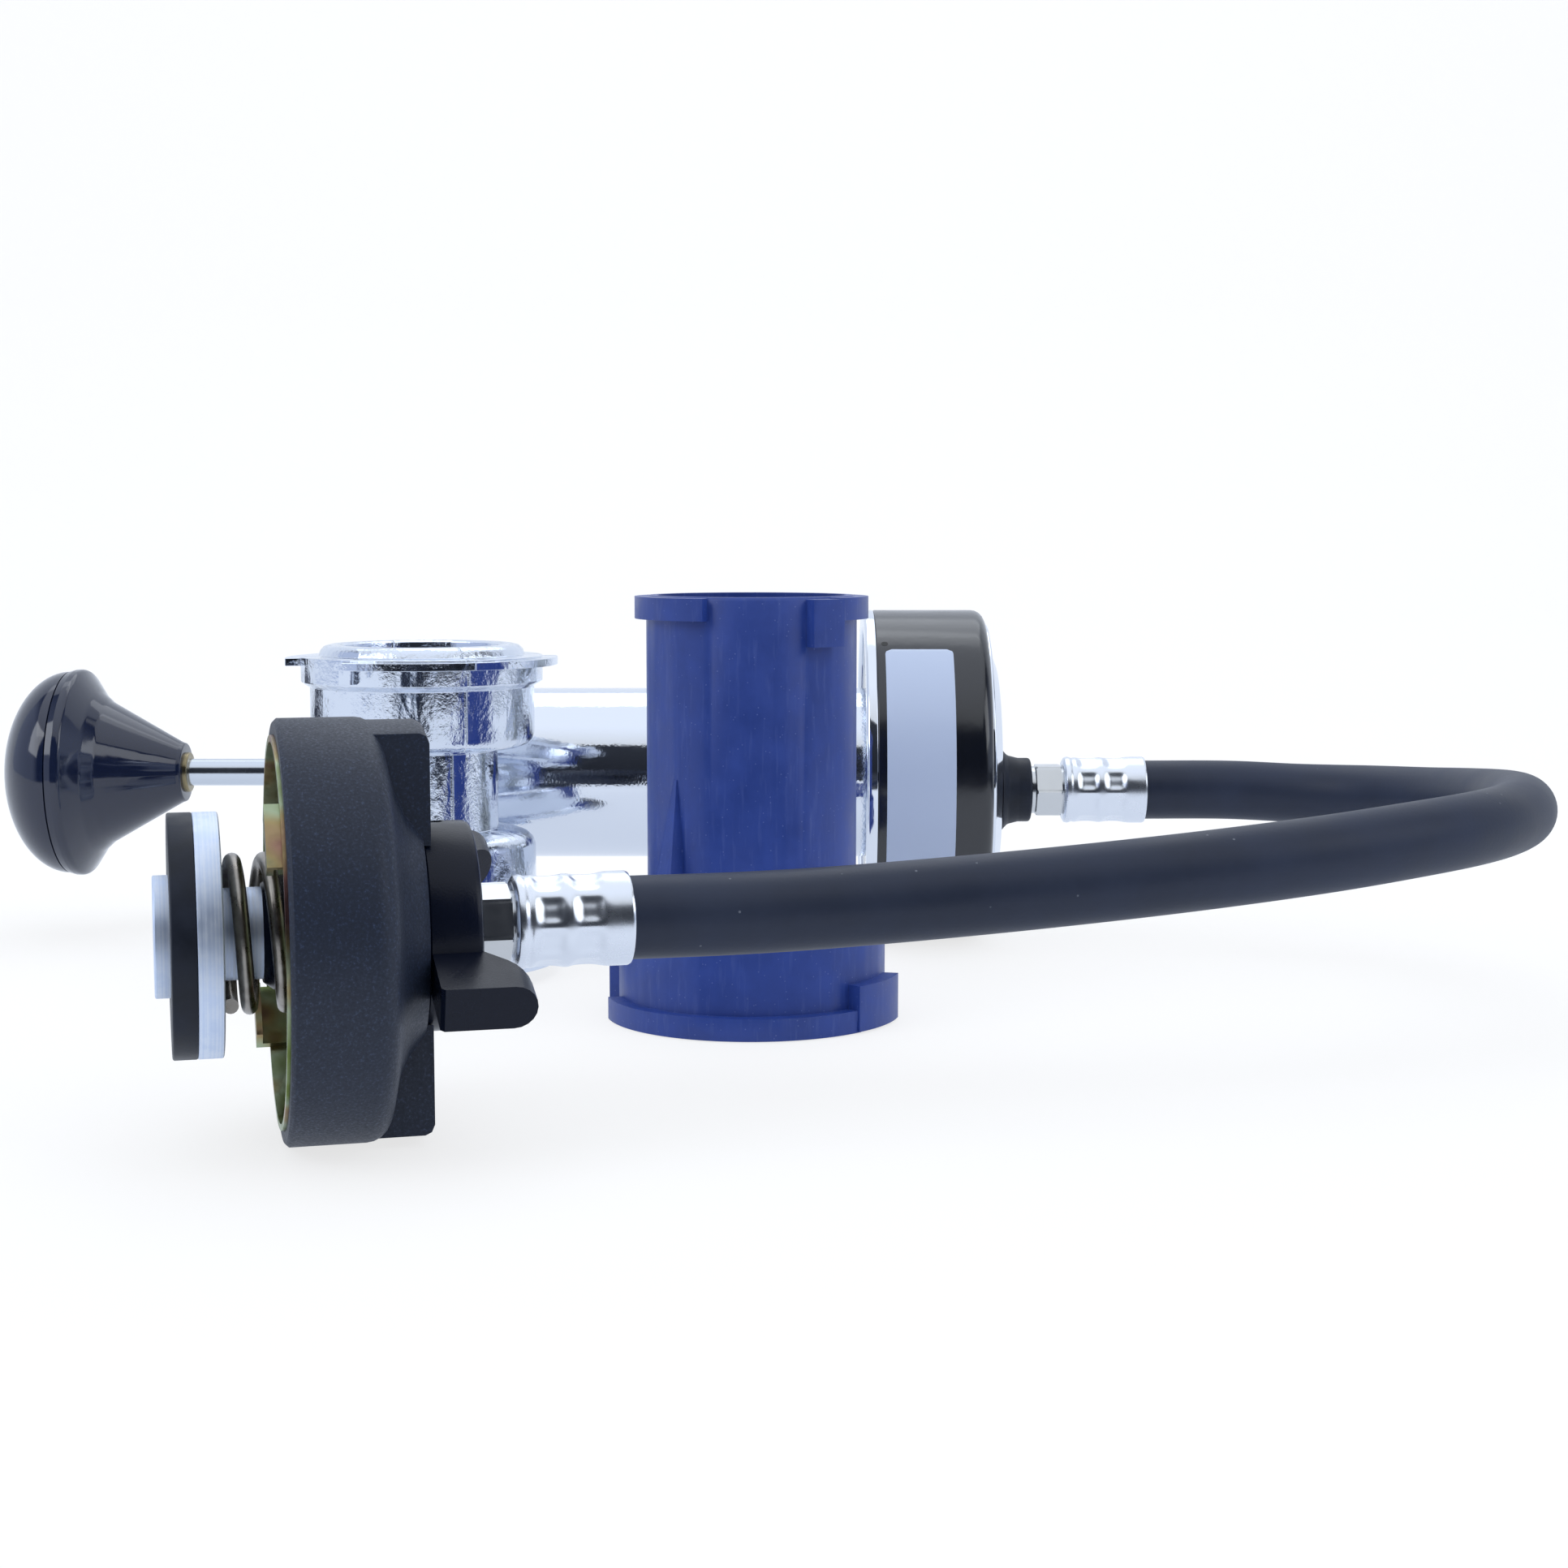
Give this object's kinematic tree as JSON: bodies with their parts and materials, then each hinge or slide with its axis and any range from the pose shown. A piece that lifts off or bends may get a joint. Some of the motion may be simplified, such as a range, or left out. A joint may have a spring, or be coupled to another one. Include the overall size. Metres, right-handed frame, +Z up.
{
  "type": "cooling system pressure tester",
  "caption": "Hand pump with a ring gauge round its barrel, a rubber hose to a bayonet cap test head with a wing handle, and chrome and blue filler neck adaptors",
  "frame": {"origin": "middle of the footprint of the set without the hose, on the surface it stands on", "axes": "+X along the pump from its knob to the hose port, +Z up, -Y towards the test head"},
  "size_m": [0.3302, 0.2652, 0.081],
  "materials": {
    "gloss_black": "moulded gloss black plastic",
    "moulded_black": "moulded satin black plastic",
    "black_paint": "gloss black enamel on steel",
    "powder_black": "black powder coat with a fine texture",
    "chrome": "polished chrome plate",
    "nickel": "nickel plated steel, turned",
    "rod_steel": "ground steel rod",
    "brass": "turned brass",
    "bronze": "drawn bronze tube",
    "aluminium": "turned aluminium",
    "rubber": "black nitrile rubber",
    "hose_rubber": "black rubber hose with a fine bloom",
    "spring_steel": "spring steel wire",
    "gold_zinc": "yellow passivated zinc plate",
    "lens": "clear lens",
    "dial": "white enamel dial, bare",
    "pointer": "black pointer",
    "blue_plastic": "moulded deep blue plastic, satin"
  },
  "bodies": {
    "tester": {"pump_barrel": "chrome", "barrel_cap": "chrome", "rod_bush": "brass", "check_valve": "rubber", "gauge_case": "black_paint", "gauge_bezel": "chrome", "gauge_lens": "lens", "gauge_dial": "dial", "gauge_socket": "brass", "bourdon_tube": "bronze", "gauge_back": "chrome", "port_boot": "rubber", "rear_fitting": "nickel", "rear_ferrule": "chrome", "hose": "hose_rubber", "front_ferrule": "chrome", "front_fitting": "nickel", "head_stem": "aluminium", "seal_disc": "aluminium", "seal_gasket": "rubber", "seal_nut": "aluminium", "head_spring": "spring_steel"},
    "plunger": {"knob_cap": "gloss_black", "knob_body": "gloss_black", "knob_insert": "brass", "pump_rod": "rod_steel", "piston": "aluminium", "piston_cup": "rubber"},
    "pointer": {"gauge_pointer": "pointer"},
    "head_slider": {"thrust_washer": "nickel"},
    "head_cap": {"head_shell": "powder_black", "cam_ring": "gold_zinc", "turn_sleeve": "moulded_black", "wing_handle": "moulded_black"},
    "neck_piece": {"neck_adaptor": "chrome"},
    "cap_piece": {"cap_adaptor": "blue_plastic"}
  },
  "joints": [
    {"name": "plunger_slide", "type": "slide", "parent": "tester", "child": "plunger", "axis": [-1, 0, 0], "range_m": [-0.03, 0.08]},
    {"name": "pointer_turn", "type": "hinge", "parent": "tester", "child": "pointer", "pos_m": [0.0665, 0.0952, 0.0375], "axis": [1, 0, 0], "range_deg": [0, 270], "stiffness_Nm_per_rad": 0.002},
    {"name": "head_press", "type": "slide", "parent": "tester", "child": "head_slider", "axis": [-0.9659, -0.2588, 0], "range_m": [0, 0.0055], "stiffness_N_per_m": 3000, "springref_m": -0.002, "deforming": ["head_spring"]},
    {"name": "head_turn", "type": "hinge", "parent": "head_slider", "child": "head_cap", "pos_m": [-0.0284, -0.1013, 0.0325], "axis": [0.9659, 0.2588, 0], "continuous": true},
    {"name": "neck_lift", "type": "slide", "parent": "tester", "child": "neck_piece", "axis": [0, 0, 1], "range_m": [0, 0.1]},
    {"name": "cap_lift", "type": "slide", "parent": "tester", "child": "cap_piece", "axis": [0, 0, 1], "range_m": [0, 0.1]}
  ]
}
